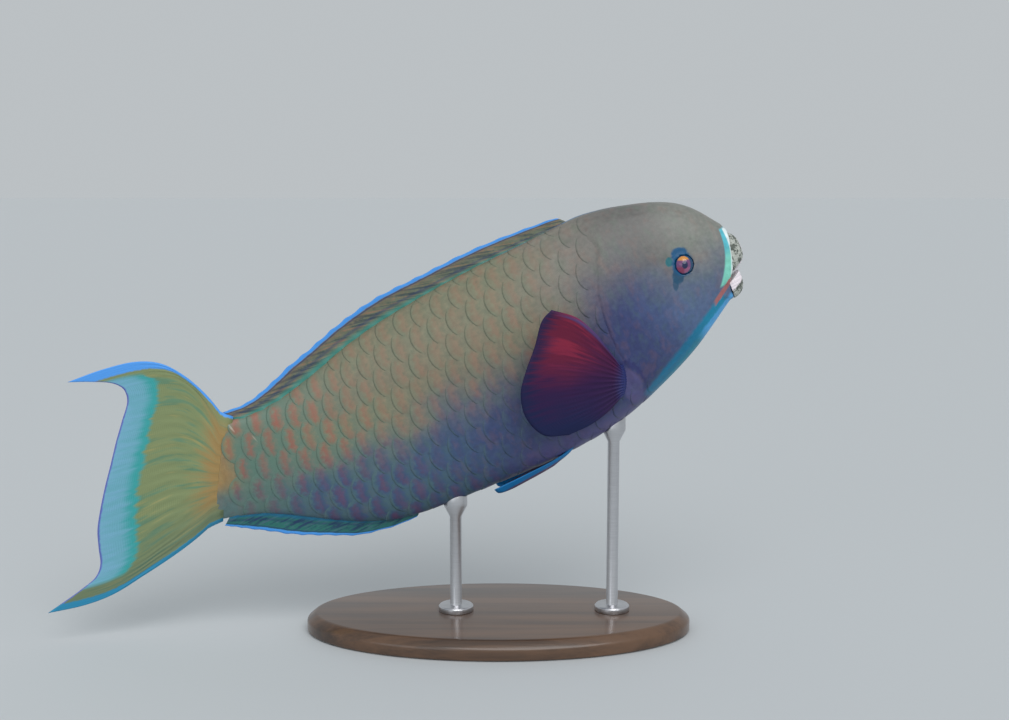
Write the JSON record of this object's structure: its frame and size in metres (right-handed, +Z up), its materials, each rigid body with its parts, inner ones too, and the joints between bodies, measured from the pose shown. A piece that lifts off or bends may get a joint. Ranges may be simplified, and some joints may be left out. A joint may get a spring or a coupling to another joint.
{
  "type": "parrotfish display model",
  "caption": "Life-size still model of a swimming parrotfish with a beak, raised fin rays and a crescent tail, held on a flat oval base by rods.",
  "frame": {"origin": "centre of the underside of the stand's oval base", "axes": "+Z up, +X the way the fish heads, +Y to the fish's left"},
  "size_m": [0.5817, 0.17, 0.3667],
  "materials": {
    "skin": "scaled fish skin, olive-tan with salmon scale bars, satin wet sheen",
    "fin_gold": "golden fin membrane with raised rays and a bright blue margin",
    "fin_green": "teal and green fin membrane with raised rays and a blue margin",
    "fin_red": "crimson fin membrane shading to dark purple, raised rays",
    "fin_blue": "blue-edged pinkish fin membrane with raised rays",
    "eye": "clear glossy eye with an orange and magenta iris",
    "beak": "chalky fused tooth plates, mottled grey with algae",
    "stand_wood": "dark satin-lacquered hardwood",
    "stand_steel": "brushed stainless steel"
  },
  "bodies": {
    "root": {"head": "skin", "torso": "skin", "tail_stalk": "skin", "dorsal_fin": "fin_gold", "anal_fin": "fin_green", "caudal_fin_upper": "fin_gold", "caudal_fin_lower": "fin_gold", "pectoral_fin_right": "fin_red", "pectoral_fin_left": "fin_red", "pelvic_fin_right": "fin_blue", "pelvic_fin_left": "fin_blue", "eye_right": "eye", "eye_left": "eye", "beak_upper_right": "beak", "beak_upper_left": "beak", "beak_lower_right": "beak", "beak_lower_left": "beak", "stand_base": "stand_wood", "stand_rod_front": "stand_steel", "stand_rod_rear": "stand_steel"}
  },
  "joints": []
}
